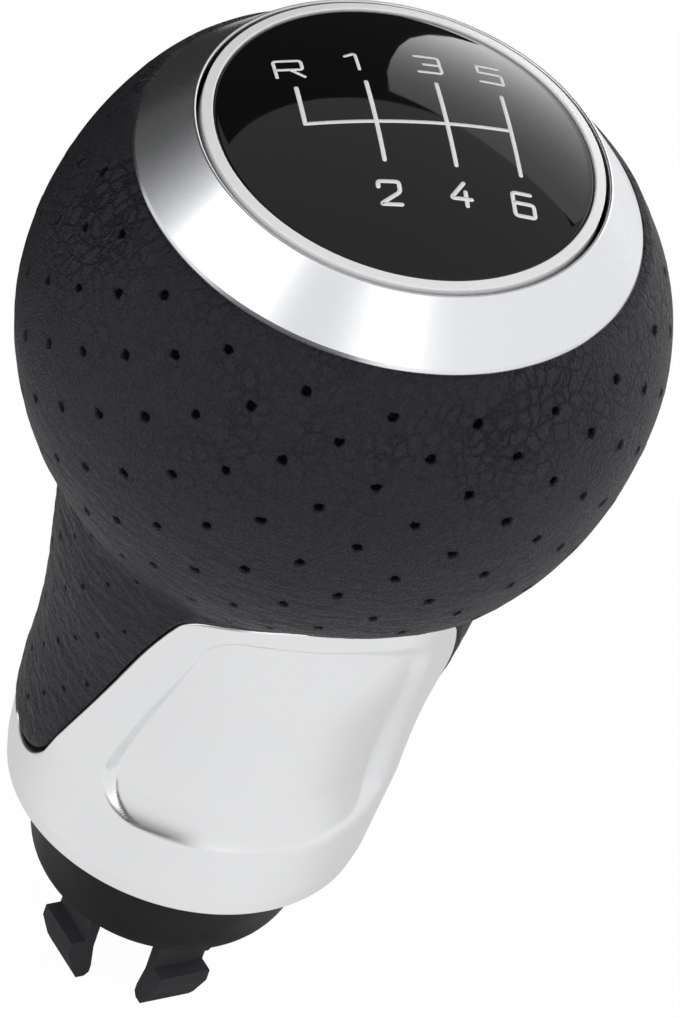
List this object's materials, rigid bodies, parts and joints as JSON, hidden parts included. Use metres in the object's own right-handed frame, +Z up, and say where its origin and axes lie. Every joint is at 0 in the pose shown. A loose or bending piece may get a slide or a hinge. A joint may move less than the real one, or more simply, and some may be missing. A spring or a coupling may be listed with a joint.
{
  "type": "gear shift knob",
  "caption": "Ball-shaped gear shift knob: perforated leather over a moulded core, satin top ring, gloss shift-pattern cap, satin collar with thumb recesses, and a snap-in lever socket.",
  "frame": {"origin": "on the knob's axis, level with the lowest points of the snap hooks", "axes": "+Z up along the gear lever, +X to the driver's right, +Y forward in the car"},
  "size_m": [0.053, 0.053, 0.0956],
  "materials": {
    "core_plastic": "moulded black",
    "leather": "pebbled, perforated",
    "satin_metal": "satin",
    "bright_metal": "polished",
    "cap_gloss": "piano black with a printed shift pattern",
    "collar_metal": "pale satin",
    "base_plastic": "moulded black"
  },
  "bodies": {
    "root": {"core": "core_plastic", "leather_cover": "leather", "top_bezel": "satin_metal", "cap_rim": "bright_metal", "shift_cap": "cap_gloss", "lower_collar": "collar_metal", "base_insert": "base_plastic"}
  },
  "joints": []
}
